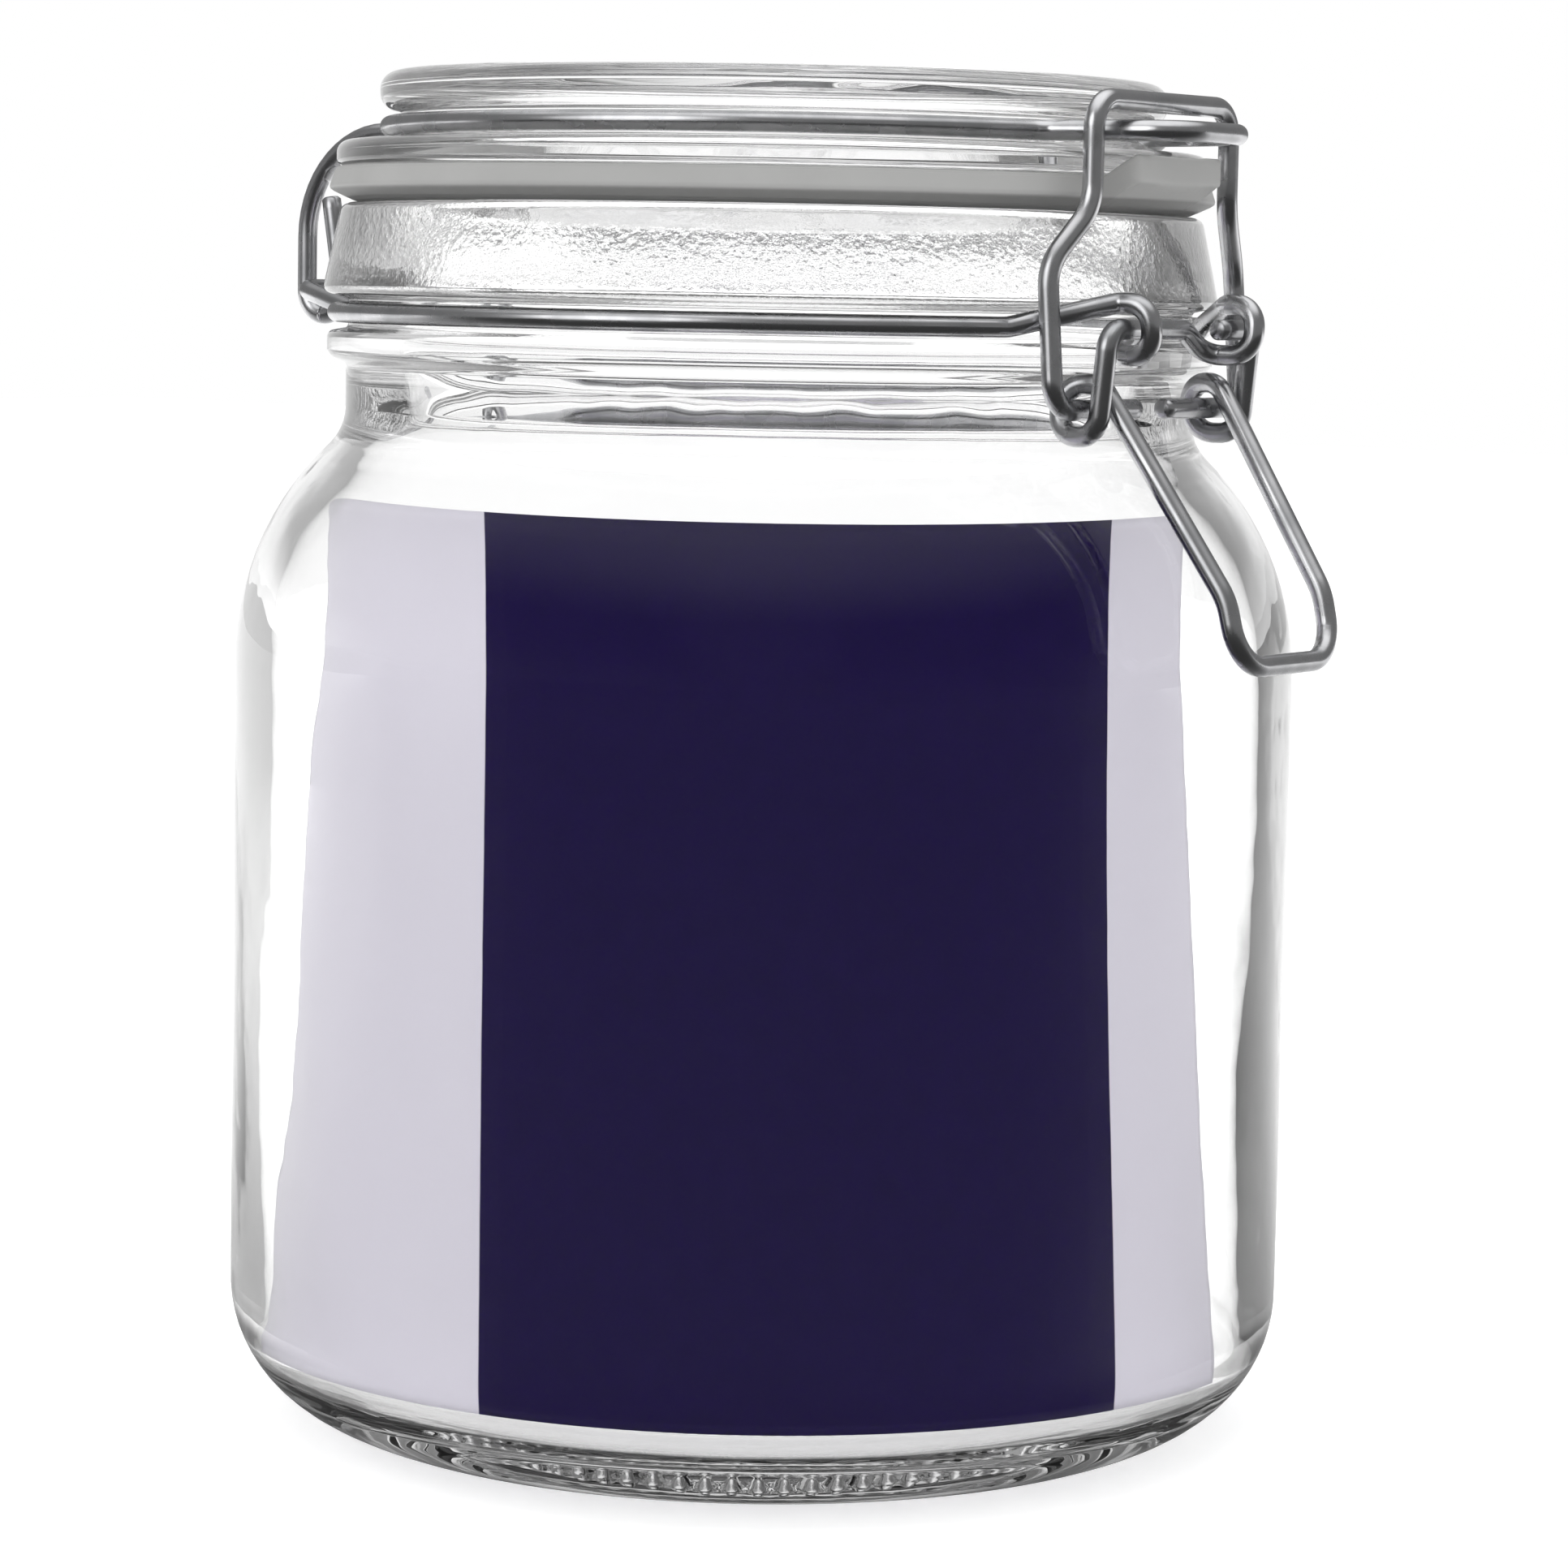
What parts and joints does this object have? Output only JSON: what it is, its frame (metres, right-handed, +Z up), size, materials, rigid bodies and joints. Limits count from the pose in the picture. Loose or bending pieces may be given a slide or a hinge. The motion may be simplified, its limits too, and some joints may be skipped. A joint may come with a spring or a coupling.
{
  "type": "lidded glass canister",
  "caption": "Round clear glass storage jar with a hinged glass lid, rubber gasket and over-centre wire bail latch, holding a paper label inside.",
  "frame": {"origin": "on the jar's axis, at the plane of the base that it stands on", "axes": "+Z up along the jar's axis, latch facing -Y, lid hinge at +Y"},
  "size_m": [0.118, 0.1289, 0.1491],
  "materials": {
    "jar_glass": "clear pressed soda-lime glass",
    "lid_glass": "clear pressed soda-lime glass",
    "gasket_rubber": "pale grey matt natural rubber",
    "wire_steel": "bright drawn galvanised steel wire",
    "label_paper": "coated paper, pale with a broad dark indigo band"
  },
  "bodies": {
    "jar": {"glass_jar": "jar_glass", "neck_wire": "wire_steel", "label_insert": "label_paper"},
    "lid": {"glass_lid": "lid_glass", "gasket": "gasket_rubber", "lid_wire": "wire_steel"},
    "lever": {"lever": "wire_steel"},
    "bail": {"bail": "wire_steel"}
  },
  "joints": [
    {"name": "lid_hinge", "type": "hinge", "parent": "jar", "child": "lid", "pos_m": [0, 0.0565, 0.1251], "axis": [-1, 0, 0], "range_deg": [0, 105]},
    {"name": "lever_pivot", "type": "hinge", "parent": "jar", "child": "lever", "pos_m": [0, -0.0534, 0.1227], "axis": [-1, 0, 0], "range_deg": [0, 120]},
    {"name": "bail_pivot", "type": "hinge", "parent": "lever", "child": "bail", "pos_m": [0, -0.0496, 0.1143], "axis": [-1, 0, 0], "range_deg": [-120, 0]}
  ],
  "couplings": [
    {"joint": "bail_pivot", "follows": "lever_pivot", "ratio": -1}
  ]
}
